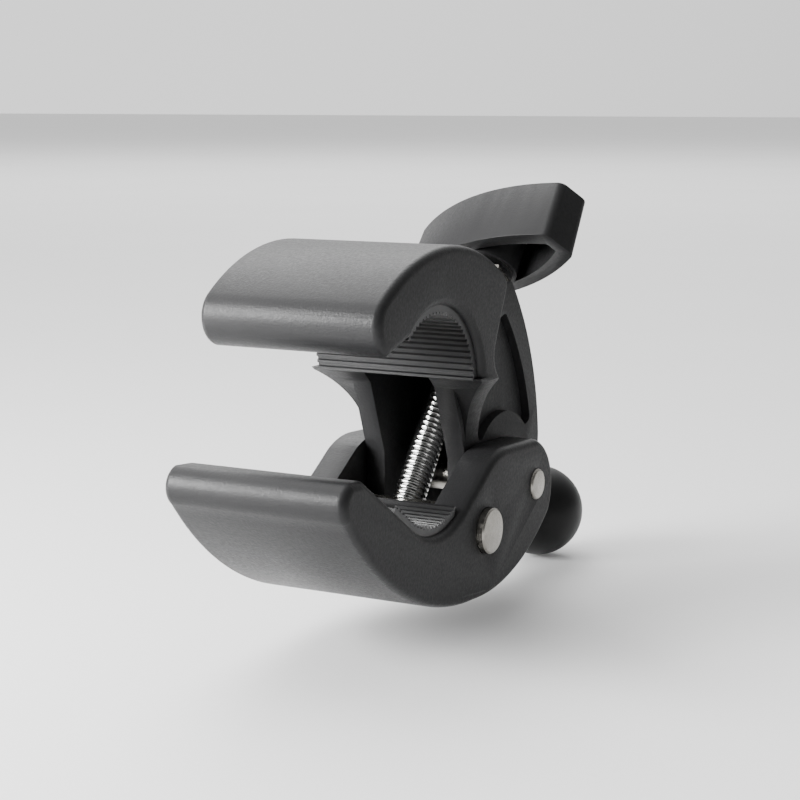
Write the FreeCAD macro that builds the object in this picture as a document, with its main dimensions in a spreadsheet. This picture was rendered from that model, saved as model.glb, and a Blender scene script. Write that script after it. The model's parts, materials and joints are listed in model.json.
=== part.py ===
"""Super clamp: hinged jaws drawn shut by a threaded rod and wing knob, with a ball mount behind.

Millimetres. X runs along the jaws' width, -Y is the open mouth, +Y the ball side and +Z is up.
The origin is the centre of the mounting ball. Profiles are drawn from the hinge pin's centre.
"""
import FreeCAD, Part
import math
import os

import Sketcher

PARTS_FOLDER = "parts"
os.makedirs(PARTS_FOLDER, exist_ok=True)
doc = FreeCAD.newDocument("super_clamp")

# ---------------------------------------------------------------- driving sizes
# name: (millimetres or degrees, what it is)
SIZES = {
    # layout of the mechanism, from the hinge pin's centre
    "ball_back": (52.6, "hinge pin to ball centre, backwards"),
    "ball_drop": (19.5, "hinge pin to ball centre, downwards"),
    "nut_y": (-29.0, "barrel nut from the hinge pin"),
    "nut_z": (-6.0, "barrel nut from the hinge pin"),
    "rod_tilt": (38.2, "rod's lean back from upright"),
    "seat_reach": (72.0, "barrel nut to the rocker's pivot, along the rod"),
    # widths along X, as half widths from the middle plane
    "jaw_half": (23.0, "half the jaws' width"),
    "cheek_inner": (14.4, "middle plane to a cheek's inner face"),
    "leg_outer": (13.8, "middle plane to a leg's outer face"),
    "leg_inner": (8.8, "middle plane to a leg's inner face"),
    "web_half": (11.6, "middle plane to the floor of the tail's side recess"),
    "pad_half": (21.2, "half the rubber pads' length"),
    "edge_round": (2.0, "rounding where the jaws' skin meets their ends"),
    # upper jaw, profile from the hinge pin
    "grip_y": (-52.4, "centre of the upper grip arc"),
    "grip_z": (28.9, "centre of the upper grip arc"),
    "grip_r": (21.4, "upper grip arc"),
    "brow_y": (-79.0, "where nose and crown meet"),
    "brow_z": (53.6, "where nose and crown meet"),
    "nose_r": (6.9, "upper lip's nose"),
    "lip_y": (-77.0, "upper lip's lower corner"),
    "lip_z": (41.53, "upper lip's lower corner"),
    "lip_back_y": (-67.0, "upper lip's inner corner"),
    "crown_r": (53.7, "upper jaw's outer arc"),
    "heel_r": (3.6, "round of the upper jaw's rear top corner"),
    "heel_y": (-16.4, "upper jaw's rear top corner"),
    "heel_z": (53.1, "upper jaw's rear top corner"),
    "nape_y": (-28.5, "upper jaw's rear, where the column begins"),
    "nape_z": (34.5, "upper jaw's rear, where the column begins"),
    "throat_y": (-33.15, "front foot of the upper grip arc"),
    "throat_z": (31.0, "front foot of the upper grip arc"),
    "column_r": (24.9, "concave front of the column"),
    "waist_z": (9.0, "height of the column's waist"),
    "waist_y": (-21.8, "front of the column's waist"),
    "rim_depth": (6.4, "depth of the column's front rim"),
    "flank_r": (21.5, "concave flanks of the column"),
    "flank_z": (12.5, "height where the flanks stand upright"),
    # tail and legs
    "tail_top_y": (4.0, "tail's top rear corner"),
    "tail_top_z": (50.4, "tail's top rear corner"),
    "tail_r": (70.0, "tail's convex back"),
    "tail_mid_y": (21.3, "tail's back at its lower end"),
    "tail_mid_z": (9.0, "tail's back at its lower end"),
    "tail_foot_y": (20.0, "tail's rear foot"),
    "tail_foot_z": (-15.0, "tail's rear foot"),
    "sole_z": (-11.0, "underside of the legs"),
    "toe_r": (21.9, "legs' lower front, about the hinge"),
    "rear_wall": (4.6, "tail's rear wall"),
    "roof_z": (31.0, "roof of the window between the legs"),
    "recess_round": (1.6, "round of the side recess's corners"),
    "arch_r": (17.8, "arch over the cheeks at the foot of the side recess"),
    # rod seat
    "boss_r": (8.2, "boss that carries the cradle"),
    "boss_root": (13.0, "length of the boss down into the tail"),
    "boss_drop": (1.5, "cradle's lip below the rocker's pivot"),
    "rocker_r": (5.9, "half-round rocker"),
    "rocker_half": (7.0, "half the rocker's length"),
    "rocker_flat": (0.4, "rocker's flat below its pivot"),
    "liner": (0.5, "thickness of the steel liner in the cradle"),
    "swing_room": (0.45, "clear space round the rod in its tunnel"),
    "swing_front": (5.6, "rod's swing forwards as the jaws shut"),
    "swing_back": (2.4, "rod's swing back as the jaws open"),
    "tunnel": (47.0, "length of the rod's tunnel"),
    # lower jaw, profile from the hinge pin
    "cup_y": (-52.3, "centre of the lower grip arc"),
    "cup_z": (20.3, "centre of the lower grip arc"),
    "cup_r": (22.6, "lower grip arc"),
    "ramp_front": (33.5, "slope of the ramp in front of the lower grip arc"),
    "ramp_rear": (32.5, "slope of the cheeks' front edge"),
    "chin_y": (-87.6, "lower lip's top, inner end"),
    "chin_tip_y": (-93.0, "lower lip's top, outer end"),
    "chin_tip_z": (17.0, "lower lip's top, outer end"),
    "chin_r": (5.05, "lower lip's nose"),
    "jowl_y": (-94.6, "where nose and belly meet"),
    "jowl_z": (8.1, "where nose and belly meet"),
    "belly_r": (80.0, "lower jaw's long outer arc"),
    "keel_y": (-34.0, "lowest point of the belly"),
    "keel_z": (-22.2, "lowest point of the belly"),
    "stern_r": (58.0, "lower jaw's rear outer arc"),
    "hock_y": (8.5, "where the belly meets the cheek's round"),
    "hock_z": (-9.0, "where the belly meets the cheek's round"),
    "cheek_r": (13.2, "cheeks' round back"),
    "cheek_top_y": (0.5, "rear end of the cheeks' top"),
    "cheek_top_z": (11.4, "rear end of the cheeks' top"),
    "cheek_flat_y": (-16.0, "front end of the cheeks' top"),
    "cheek_flat_z": (12.2, "front end of the cheeks' top"),
    "cheek_brow_y": (-27.0, "where the cheeks' front edge starts to round over"),
    "cheek_brow_r": (20.2, "round between the cheeks' top and front"),
    "ledge_y": (-42.4, "rear edge of the lower pad"),
    "floor_wall": (3.4, "lower jaw's belly wall between the cheeks"),
    "floor_end_y": (-17.0, "rear end of the belly between the cheeks"),
    # rubber pads
    "pad_thick": (3.4, "thickness of the rubber pads"),
    "pad_sunk": (1.4, "depth of the pads' beds"),
    "pad_gap": (0.05, "glue line round the pads"),
    "pad_start": (6.0, "upper pad's lower end, as an angle from straight back"),
    "pad_end": (129.5, "upper pad's lip end, as an angle from straight back"),
    "ramp_pad": (21.0, "lower pad's length up the front ramp"),
    # pins
    "hinge_d": (7.8, "hinge pin's diameter"),
    "hinge_proud": (0.7, "hinge pin's end beyond a cheek"),
    "nut_d": (11.1, "barrel nut's diameter"),
    "nut_proud": (1.9, "barrel nut's end beyond a cheek"),
    "pin_chamfer": (0.4, "chamfer on the ends of both pins"),
    "nut_play": (0.15, "clear space round the barrel nut in a cheek"),
    "run": (0.05, "running clearance on a radius"),
    "bush_wall": (1.0, "wall of a hinge bush"),
    "bush_flange_r": (7.0, "flange of a hinge bush"),
    # rod and knob, heights above the rocker's pivot along the rod
    "rod_d": (7.94, "threaded rod's outer diameter"),
    "thread_room": (0.30, "radial clearance of the nut's bore over the rod"),
    "rod_tail": (4.8, "rod's end beyond the barrel nut's centre"),
    "washer_r": (7.6, "thrust washers' radius"),
    "slip_washer": (1.0, "plastic slip washer's thickness"),
    "steel_washer": (1.2, "steel thrust washer's thickness"),
    "knob_height": (16.5, "knob's height"),
    "knob_span": (57.5, "knob's length"),
    "knob_waist": (22.5, "knob's width at its middle"),
    "knob_tip": (9.8, "width of the knob's ends"),
    "knob_corner": (2.5, "round of the knob's upright corners"),
    "knob_draft": (2.5, "draft of the knob's sides"),
    "knob_wall": (3.3, "knob's rim round its hollow underside"),
    "knob_roof": (3.6, "knob's top over the hollow"),
    "knob_turned": (-26.5, "knob's rest angle about the rod"),
    "hub_r": (8.6, "knob's hub"),
    "insert_flats": (11.0, "hexagonal insert across its flats"),
    "insert_tall": (11.0, "hexagonal insert's height"),
    "cross_pin_d": (2.5, "spring pin through the insert"),
    "cap_r": (6.6, "cap in the knob's top"),
    "cap_thick": (1.6, "cap in the knob's top"),
    "socket_flats": (4.0, "hexagon socket in the ball screw"),
    "socket_deep": (2.5, "hexagon socket in the ball screw"),
    # ball mount
    "ball_d": (25.4, "ball over its rubber"),
    "ball_skin": (1.6, "rubber on the ball"),
    "post_d": (12.0, "post between the tail and the ball"),
    "stub_r": (8.0, "tail's stub under the post"),
    "stub_face": (30.5, "ball centre to the stub's face"),
    "stub_wall": (6.0, "stub's thickness under the screw"),
    "post_fall": (19.4, "post's slope below level"),
    "screw_d": (5.0, "ball screw's shank"),
    "screw_head_r": (4.25, "ball screw's head"),
    "screw_head_tall": (5.0, "ball screw's head"),
    "screw_bite": (13.0, "ball screw's thread inside the post"),
    "screw_washer_r": (5.0, "washer under the ball screw"),
    "screw_washer_thick": (1.0, "washer under the ball screw"),
}
sheet = doc.addObject("Spreadsheet::Sheet", "sizes")
for row, (alias, (size, note)) in enumerate(SIZES.items(), start=1):
    sheet.set(f"A{row}", alias)
    sheet.set(f"B{row}", str(size))
    sheet.set(f"C{row}", note)
    sheet.setAlias(f"B{row}", alias)
doc.recompute()

HINGE_Y = "(-sizes.ball_back)"
HINGE_Z = "sizes.ball_drop"
NUT_Y = f"({HINGE_Y} + sizes.nut_y)"
NUT_Z = f"({HINGE_Z} + sizes.nut_z)"


def size(expression):
    """Value of an expression on the sheet's cells."""
    value = sheet.evalExpression(expression)
    return float(getattr(value, "Value", value))


def bind(thing, **expressions):
    """Bind properties of an object to expressions on the sheet."""
    for name, expression in expressions.items():
        thing.setExpression(name, expression)
    return thing


def place(thing, x="0", y="0", z="0", axis=(0, 0, 1), angle="0"):
    """Bind an object's placement: a point and a turn about one axis."""
    turn = FreeCAD.Rotation(FreeCAD.Vector(*axis), size(angle))
    thing.Placement = FreeCAD.Placement(FreeCAD.Vector(size(x), size(y), size(z)), turn)
    thing.setExpression("Placement.Base.x", x)
    thing.setExpression("Placement.Base.y", y)
    thing.setExpression("Placement.Base.z", z)
    return thing


def along_rod(thing, height, spin="0"):
    """Stand an object on the rod's axis, at a height above the rocker's pivot."""
    lean = FreeCAD.Rotation(FreeCAD.Vector(1, 0, 0), -size("sizes.rod_tilt"))
    twist = FreeCAD.Rotation(FreeCAD.Vector(0, 0, 1), size(spin))
    thing.Placement = FreeCAD.Placement(FreeCAD.Vector(), lean * twist)
    reach = f"(sizes.seat_reach + {height})"
    thing.setExpression("Placement.Base.y", f"{NUT_Y} + {reach} * sin(sizes.rod_tilt)")
    thing.setExpression("Placement.Base.z", f"{NUT_Z} + {reach} * cos(sizes.rod_tilt)")
    return thing


def along_post(thing, distance):
    """Lay an object on the ball post's axis, at a distance in front of the ball's centre."""
    fall = FreeCAD.Rotation(FreeCAD.Vector(1, 0, 0), 90 - size("sizes.post_fall"))
    thing.Placement = FreeCAD.Placement(FreeCAD.Vector(), fall)
    thing.setExpression("Placement.Base.y", f"-({distance}) * cos(sizes.post_fall)")
    thing.setExpression("Placement.Base.z", f"({distance}) * sin(sizes.post_fall)")
    return thing


# ---------------------------------------------------------------- sketches and features
def new_body(label):
    body = doc.addObject("PartDesign::Body", label)
    body.Label = label
    return body


def new_sketch(body, plane):
    """Sketch on one of the body's own origin planes."""
    sketch = body.newObject("Sketcher::SketchObject", f"{body.Name}_sketch")
    support = next(p for p in body.Origin.OriginFeatures if p.Role == plane)
    sketch.AttachmentSupport = [(support, "")]
    sketch.MapMode = "FlatFace"
    return sketch


def tilted_sketch(body, height):
    """Sketch square to the rod, at a height above the rocker's pivot."""
    sketch = new_sketch(body, "XY_Plane")
    lean = FreeCAD.Rotation(FreeCAD.Vector(1, 0, 0), -size("sizes.rod_tilt"))
    sketch.AttachmentOffset = FreeCAD.Placement(FreeCAD.Vector(), lean)
    across, up = rod_point(height, "0")
    sketch.setExpression("AttachmentOffset.Base.y", across)
    sketch.setExpression("AttachmentOffset.Base.z", up)
    doc.recompute()
    return sketch


def post_sketch(body, distance):
    """Sketch square to the ball post, at a distance in front of the ball's centre."""
    sketch = new_sketch(body, "XY_Plane")
    fall = FreeCAD.Rotation(FreeCAD.Vector(1, 0, 0), 90 - size("sizes.post_fall"))
    sketch.AttachmentOffset = FreeCAD.Placement(FreeCAD.Vector(), fall)
    sketch.setExpression("AttachmentOffset.Base.y", f"sizes.ball_back - ({distance}) * cos(sizes.post_fall)")
    sketch.setExpression("AttachmentOffset.Base.z", f"-sizes.ball_drop + ({distance}) * sin(sizes.post_fall)")
    doc.recompute()
    return sketch


def rod_point(height, behind):
    """Profile coordinates of a point beside the rod: height above the pivot, distance behind the axis."""
    reach = f"(sizes.seat_reach + ({height}))"
    across = f"sizes.nut_y + {reach} * sin(sizes.rod_tilt) + ({behind}) * cos(sizes.rod_tilt)"
    up = f"sizes.nut_z + {reach} * cos(sizes.rod_tilt) - ({behind}) * sin(sizes.rod_tilt)"
    return across, up


def arc_point(centre, radius, angle):
    """Profile coordinates of a point on an arc; the angle opens upwards from straight back."""
    return f"{centre[0]} + ({radius}) * cos({angle})", f"{centre[1]} + ({radius}) * sin({angle})"


def pin_point(sketch, edge, end, across, up):
    """Hold an edge's end at bound distances from the sketch's origin."""
    for kind, expression in (("DistanceX", across), ("DistanceY", up)):
        held = sketch.addConstraint(Sketcher.Constraint(kind, -1, 1, edge, end, size(expression)))
        sketch.setExpression(f"Constraints[{held}]", expression)


def arc_between(start, finish, radius):
    """Arc of a radius from start to finish: positive turns left, negative turns right."""
    chord = finish - start
    reach = abs(radius)
    rise = reach - math.sqrt(max(reach * reach - chord.Length ** 2 / 4, 0.0))
    outward = FreeCAD.Vector(chord.y, -chord.x, 0).normalize()
    middle = (start + finish) / 2 + outward * math.copysign(rise, radius)
    return Part.Arc(start, middle, finish)


def outline(sketch, corners):
    """Closed outline: each corner is (across, up) or (across, up, radius of the arc that leaves it)."""
    points = [FreeCAD.Vector(size(c[0]), size(c[1]), 0) for c in corners]
    ends = []
    for index, corner in enumerate(corners):
        start = points[index]
        finish = points[(index + 1) % len(points)]
        if len(corner) == 2:
            edge = sketch.addGeometry(Part.LineSegment(start, finish), False)
            ends.append((edge, 1, 2))
            continue
        radius = size(corner[2])
        edge = sketch.addGeometry(arc_between(start, finish, radius), False)
        ends.append((edge, 1, 2) if radius > 0 else (edge, 2, 1))
        held = sketch.addConstraint(Sketcher.Constraint("Radius", edge, abs(radius)))
        sketch.setExpression(f"Constraints[{held}]", f"abs({corner[2]})")
    for index, (edge, first, last) in enumerate(ends):
        following = ends[(index + 1) % len(ends)]
        sketch.addConstraint(Sketcher.Constraint("Coincident", edge, last, following[0], following[1]))
        pin_point(sketch, edge, first, corners[index][0], corners[index][1])
    return sketch


def ring(sketch, across, up, radius):
    """Circle with a bound centre and radius."""
    centre = FreeCAD.Vector(size(across), size(up), 0)
    edge = sketch.addGeometry(Part.Circle(centre, FreeCAD.Vector(0, 0, 1), size(radius)), False)
    pin_point(sketch, edge, 3, across, up)
    held = sketch.addConstraint(Sketcher.Constraint("Radius", edge, size(radius)))
    sketch.setExpression(f"Constraints[{held}]", radius)
    return sketch


def pad(body, sketch, length, both_ways=True, reverse=False):
    """Add the sketch's section to the body."""
    feature = body.newObject("PartDesign::Pad", f"{sketch.Name}_pad")
    feature.Profile = sketch
    feature.Midplane = both_ways
    feature.Reversed = reverse
    feature.setExpression("Length", length)
    doc.recompute()
    return feature


def pocket(body, sketch, length, both_ways=True, reverse=False):
    """Cut the sketch's section out of the body, and make sure that it cuts."""
    before = body.Shape.Volume
    feature = body.newObject("PartDesign::Pocket", f"{sketch.Name}_pocket")
    feature.Profile = sketch
    feature.Midplane = both_ways
    feature.Reversed = reverse
    feature.setExpression("Length", length)
    doc.recompute()
    if body.Shape.Volume > before - 1e-3:
        raise ValueError(f"{feature.Name} cuts nothing")
    return feature


def round_edges(body, radius, wanted):
    """Fillet the body's edges that a test on each edge picks."""
    doc.recompute()
    base = body.Tip
    names = [f"Edge{n}" for n, edge in enumerate(base.Shape.Edges, start=1) if wanted(edge)]
    feature = body.newObject("PartDesign::Fillet", f"{body.Name}_fillet")
    feature.Base = (base, names)
    feature.setExpression("Radius", radius)
    doc.recompute()
    return feature


def at_width(edge, half):
    """True for an edge that lies in one of the two end planes."""
    box = edge.BoundBox
    return box.XLength < 0.01 and abs(abs(box.XMin) - half) < 0.01


def at_corner(edge, across, up):
    """True for an edge that runs the body's full width at a point of the profile."""
    box = edge.BoundBox
    return box.XLength > 1 and abs(box.YMin - size(across)) < 0.1 and abs(box.ZMin - size(up)) < 0.1


nodes = []


def node(thing):
    """Count an object as one of the clamp's pieces."""
    nodes.append(thing)
    return thing


# ---------------------------------------------------------------- main body
GRIP = ("sizes.grip_y", "sizes.grip_z")
LIP_ARC_Z = "(sizes.grip_z + sqrt(sizes.grip_r^2 - (sizes.lip_back_y - sizes.grip_y)^2))"
GRIP_FOOT_Y = "(sizes.grip_y + sqrt(sizes.grip_r^2 - (sizes.throat_z - sizes.grip_z)^2))"
ROD_ROOM = "(sizes.rod_d / 2 + sizes.swing_room)"


def band(body, inner, outer, start, end):
    """Ring sector about the upper grip's centre, between two radii and two angles."""
    return outline(new_sketch(body, "YZ_Plane"), [
        (*arc_point(GRIP, outer, start), outer),
        arc_point(GRIP, outer, end),
        (*arc_point(GRIP, inner, end), f"-({inner})"),
        arc_point(GRIP, inner, start),
    ])


def build_main_body():
    """Upper jaw, column, legs, hollow tail, cradle boss and stub, moulded in one piece."""
    body = new_body("main_body")
    jaw = outline(new_sketch(body, "YZ_Plane"), [
        ("sizes.lip_y", "sizes.lip_z", "-sizes.nose_r"),
        ("sizes.brow_y", "sizes.brow_z", "-sizes.crown_r"),
        ("sizes.heel_y", "sizes.heel_z"),
        ("sizes.nape_y + 3.4", "sizes.nape_z", "-(sizes.column_r + sizes.rim_depth)"),
        ("sizes.waist_y + sizes.rim_depth", "sizes.waist_z"),
        ("sizes.waist_y", "sizes.waist_z", "sizes.column_r"),
        ("sizes.throat_y", "sizes.throat_z"),
        (GRIP_FOOT_Y, "sizes.throat_z", "sizes.grip_r"),
        ("sizes.lip_back_y", LIP_ARC_Z),
    ])
    pad(body, jaw, "2 * sizes.jaw_half")
    half = size("sizes.jaw_half")
    round_edges(body, "sizes.heel_r", lambda edge: at_corner(edge, "sizes.heel_y", "sizes.heel_z"))
    round_edges(body, "6", lambda edge: at_corner(edge, "sizes.nape_y + 3.4", "sizes.nape_z"))
    above = size("sizes.throat_z") + 0.5
    round_edges(body, "sizes.edge_round", lambda edge: at_width(edge, half) and edge.BoundBox.ZMax > above)

    beyond = "(sizes.jaw_half + 1)"
    flank_top = f"(sizes.flank_z + sqrt(sizes.flank_r^2 - (sizes.flank_r - {beyond} + sizes.leg_outer)^2))"
    for side in (1, -1):
        flank = outline(new_sketch(body, "XZ_Plane"), [
            (f"{side} * sizes.leg_outer", "-40"),
            (f"{side} * sizes.leg_outer", "sizes.flank_z", f"{-side} * sizes.flank_r"),
            (f"{side} * {beyond}", flank_top),
            (f"{side} * {beyond}", "-40"),
        ])
        pocket(body, flank, "200")

    tail = outline(new_sketch(body, "YZ_Plane"), [
        ("sizes.waist_y", "sizes.waist_z"),
        ("-sqrt(sizes.toe_r^2 - 3^2)", "3", "sizes.toe_r"),
        ("-sqrt(sizes.toe_r^2 - sizes.sole_z^2)", "sizes.sole_z"),
        ("4", "sizes.sole_z"),
        ("10", "sizes.tail_foot_z"),
        ("sizes.tail_foot_y", "sizes.tail_foot_z"),
        ("sizes.tail_mid_y", "sizes.tail_mid_z", "sizes.tail_r"),
        ("sizes.tail_top_y", "sizes.tail_top_z"),
        ("sizes.heel_y - 4", "sizes.heel_z - 2"),
        ("sizes.nape_y - 3", "sizes.nape_z"),
    ])
    pad(body, tail, "2 * sizes.leg_outer")

    for side in (1, -1):
        recess = outline(new_sketch(body, "YZ_Plane"), [
            ("-sizes.arch_r * sin(52)", "sizes.arch_r * cos(52)", "-sizes.arch_r"),
            ("sizes.arch_r * sin(46)", "sizes.arch_r * cos(46)"),
            ("sizes.tail_mid_y - 5.4", "sizes.tail_mid_z + 4.5", "sizes.tail_r - 6"),
            ("sizes.tail_top_y - 3.5", "sizes.tail_top_z - 7.5"),
            ("sizes.nape_y + 8", "sizes.nape_z + 2"),
            ("sizes.waist_y + sizes.rim_depth", "sizes.waist_z + 6"),
        ])
        recess.setExpression("AttachmentOffset.Base.z", f"{side} * sizes.leg_outer")
        pocket(body, recess, "sizes.leg_outer - sizes.web_half", both_ways=False, reverse=side < 0)

    web_depth = size("sizes.leg_outer - sizes.web_half")
    round_edges(body, "sizes.recess_round", lambda edge: abs(edge.BoundBox.XLength - web_depth) < 0.01
                and edge.BoundBox.YLength < 0.01 and edge.BoundBox.ZLength < 0.01)

    boss = ring(tilted_sketch(body, "-sizes.boss_drop"), "0", "0", "sizes.boss_r")
    pad(body, boss, "sizes.boss_root", both_ways=False, reverse=True)
    stub = ring(post_sketch(body, "sizes.stub_face"), "0", "0", "sizes.stub_r")
    pad(body, stub, "sizes.stub_wall - 0.5", both_ways=False)

    window = outline(new_sketch(body, "YZ_Plane"), [
        ("-70", "sizes.roof_z - 0.01"),
        ("9", "sizes.roof_z - 0.01"),
        ("sizes.tail_mid_y - sizes.rear_wall", "12"),
        ("sizes.tail_foot_y - sizes.rear_wall", "-40"),
        ("-70", "-40"),
    ])
    pocket(body, window, "2 * sizes.leg_inner")

    reach = "sizes.tunnel"
    tunnel = outline(new_sketch(body, "YZ_Plane"), [
        rod_point("-2", f"{ROD_ROOM} + 0.2"),
        rod_point("-2", f"-{ROD_ROOM} - 0.4"),
        rod_point(f"-{reach}", f"-{ROD_ROOM} - {reach} * tan(sizes.swing_front)"),
        rod_point(f"-{reach}", f"{ROD_ROOM} + {reach} * tan(sizes.swing_back)"),
    ])
    pocket(body, tunnel, f"2 * {ROD_ROOM}")

    cradle = ring(new_sketch(body, "YZ_Plane"), *rod_point("0", "0"), "sizes.rocker_r + sizes.run + sizes.liner")
    pocket(body, cradle, "2 * sizes.boss_r + 2")

    bore = ring(new_sketch(body, "YZ_Plane"), "0", "0", "sizes.hinge_d / 2 + sizes.bush_wall")
    pocket(body, bore, "2 * sizes.leg_outer + 2")

    seat = "sizes.stub_face + sizes.stub_wall"
    screw_way = ring(post_sketch(body, "sizes.stub_face - 2"), "0", "0", "sizes.screw_d / 2 + 0.2")
    pocket(body, screw_way, "sizes.stub_wall + 12", both_ways=False, reverse=True)
    spot_face = ring(post_sketch(body, seat), "0", "0", "sizes.screw_washer_r + 0.3")
    pocket(body, spot_face, "14", both_ways=False, reverse=True)

    bed_r = "sizes.grip_r + sizes.pad_sunk"
    bed = band(body, "sizes.grip_r - 3", bed_r, "sizes.pad_start - 1", "sizes.pad_end + 0.2")
    pocket(body, bed, "2 * (sizes.pad_half + sizes.pad_gap)")
    return body




# ---------------------------------------------------------------- lower jaw
CUP_BED_R = "(sizes.cup_r + sizes.pad_sunk)"


def cup_point(radius, up_ramp="0"):
    """Profile point where the front ramp meets the cup, or further up the ramp."""
    across = f"sizes.cup_y - ({radius}) * sin(sizes.ramp_front) - ({up_ramp}) * cos(sizes.ramp_front)"
    up = f"sizes.cup_z - ({radius}) * cos(sizes.ramp_front) + ({up_ramp}) * sin(sizes.ramp_front)"
    return across, up


def cup_rear(radius, across):
    """Profile point on an arc about the cup's centre, at a given distance back."""
    return across, f"sizes.cup_z - sqrt(({radius})^2 - ({across} - sizes.cup_y)^2)"


def cup_band(body, inner, outer, up_ramp, rear):
    """Strip that lines the front ramp and the cup, between two radii."""
    return outline(new_sketch(body, "YZ_Plane"), [
        cup_point(outer, up_ramp),
        (*cup_point(outer), outer),
        cup_rear(outer, rear),
        (*cup_rear(inner, rear), f"-({inner})"),
        cup_point(inner),
        cup_point(inner, up_ramp),
    ])


def build_lower_jaw():
    """Lower jaw with its two cheeks and the open bay between them."""
    body = new_body("lower_jaw")
    ramp_foot = cup_point("sizes.cup_r")
    rear_foot_y = "(sizes.cup_y + sizes.cup_r * sin(sizes.ramp_rear))"
    rear_foot_z = "(sizes.cup_z - sizes.cup_r * cos(sizes.ramp_rear))"
    chin_z = f"({ramp_foot[1]} + ({ramp_foot[0]} - sizes.chin_y) * tan(sizes.ramp_front))"
    brow_z = f"({rear_foot_z} + (sizes.cheek_brow_y - {rear_foot_y}) * tan(sizes.ramp_rear))"
    shape = outline(new_sketch(body, "YZ_Plane"), [
        ("sizes.chin_tip_y", "sizes.chin_tip_z", "sizes.chin_r"),
        ("sizes.jowl_y", "sizes.jowl_z", "sizes.belly_r"),
        ("sizes.keel_y", "sizes.keel_z", "sizes.stern_r"),
        ("sizes.hock_y", "sizes.hock_z", "sizes.cheek_r"),
        ("sizes.cheek_top_y", "sizes.cheek_top_z"),
        ("sizes.cheek_flat_y", "sizes.cheek_flat_z", "sizes.cheek_brow_r"),
        ("sizes.cheek_brow_y", brow_z),
        (rear_foot_y, rear_foot_z, "-sizes.cup_r"),
        ramp_foot,
        ("sizes.chin_y", chin_z),
    ])
    pad(body, shape, "2 * sizes.jaw_half")
    round_edges(body, "sizes.edge_round", lambda edge: at_width(edge, size("sizes.jaw_half")))

    floor_z = "sizes.keel_z + sizes.floor_wall"
    bay = outline(new_sketch(body, "YZ_Plane"), [
        ("sizes.ledge_y", "60"),
        ("sizes.ledge_y", f"{floor_z} + 1.5"),
        ("sizes.keel_y", floor_z),
        ("sizes.floor_end_y", f"{floor_z} + 0.9"),
        ("sizes.floor_end_y", "-60"),
        ("60", "-60"),
        ("60", "60"),
    ])
    pocket(body, bay, "2 * sizes.cheek_inner")
    bed = cup_band(body, "sizes.cup_r - 4", CUP_BED_R, "sizes.ramp_pad + sizes.pad_gap",
                   "(sizes.ledge_y + sizes.pad_gap)")
    pocket(body, bed, "2 * (sizes.pad_half + sizes.pad_gap)")
    hinge = ring(new_sketch(body, "YZ_Plane"), "0", "0", "sizes.hinge_d / 2")
    pocket(body, hinge, "4 * sizes.jaw_half")
    trunnion = ring(new_sketch(body, "YZ_Plane"), "sizes.nut_y", "sizes.nut_z", "sizes.nut_d / 2 + sizes.nut_play")
    pocket(body, trunnion, "4 * sizes.jaw_half")
    return body


def build_upper_pad():
    body = new_body("upper_pad")
    outer = "(sizes.grip_r + sizes.pad_sunk - sizes.pad_gap)"
    section = band(body, f"{outer} - sizes.pad_thick", outer, "sizes.pad_start", "sizes.pad_end")
    pad(body, section, "2 * sizes.pad_half")
    return body


def build_lower_pad():
    body = new_body("lower_pad")
    outer = f"({CUP_BED_R} - sizes.pad_gap)"
    section = cup_band(body, f"{outer} - sizes.pad_thick", outer, "sizes.ramp_pad", "sizes.ledge_y")
    pad(body, section, "2 * sizes.pad_half")
    return body


# ---------------------------------------------------------------- pins and bushes
def build_cross_pin(label, across, up, diameter, proud):
    """Round pin across the jaws, standing proud of both cheeks, with chamfered ends."""
    body = new_body(label)
    section = ring(new_sketch(body, "YZ_Plane"), across, up, f"{diameter} / 2")
    pad(body, section, f"2 * (sizes.jaw_half + {proud})")
    base = body.Tip
    ends = [f"Edge{n}" for n, edge in enumerate(base.Shape.Edges, start=1) if edge.BoundBox.XLength < 0.01]
    feature = body.newObject("PartDesign::Chamfer", f"{label}_chamfer")
    feature.Base = (base, ends)
    feature.setExpression("Size", "sizes.pin_chamfer")
    doc.recompute()
    return body


def build_barrel_nut():
    body = build_cross_pin("barrel_nut", "sizes.nut_y", "sizes.nut_z", "sizes.nut_d", "sizes.nut_proud")
    thread = ring(tilted_sketch(body, "-sizes.seat_reach"), "0", "0", "sizes.rod_d / 2 + sizes.thread_room")
    pocket(body, thread, "3 * sizes.nut_d")
    return body


def build_hinge_bushes():
    """Two flanged bushes: a sleeve in each leg and a flange against each cheek."""
    bushes = []
    for side, hand in ((1, "right"), (-1, "left")):
        body = new_body(f"bush_{hand}")
        flange = ring(new_sketch(body, "YZ_Plane"), "0", "0", "sizes.bush_flange_r")
        flange.setExpression("AttachmentOffset.Base.z", f"{side} * sizes.leg_outer")
        pad(body, flange, "sizes.cheek_inner - sizes.leg_outer - 0.1", both_ways=False, reverse=side < 0)
        sleeve = ring(new_sketch(body, "YZ_Plane"), "0", "0", "sizes.hinge_d / 2 + sizes.bush_wall")
        sleeve.setExpression("AttachmentOffset.Base.z", f"{side} * sizes.leg_inner")
        pad(body, sleeve, "sizes.leg_outer - sizes.leg_inner + 0.05", both_ways=False, reverse=side < 0)
        bore = ring(new_sketch(body, "YZ_Plane"), "0", "0", "sizes.hinge_d / 2 + sizes.run")
        pocket(body, bore, "4 * sizes.jaw_half")
        bushes.append(body)
    pair = doc.addObject("Part::Compound", "hinge_bushes")
    pair.Label = "hinge_bushes"
    pair.Links = bushes
    return pair


# ---------------------------------------------------------------- rod, seat and knob
KNOB_FOOT = "(sizes.slip_washer + sizes.steel_washer - sizes.rocker_flat)"


def raised(body, height, plane="XY_Plane"):
    """Sketch parallel to one of the body's planes, at a bound height."""
    sketch = new_sketch(body, plane)
    sketch.setExpression("AttachmentOffset.Base.z", height)
    doc.recompute()
    return sketch


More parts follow.
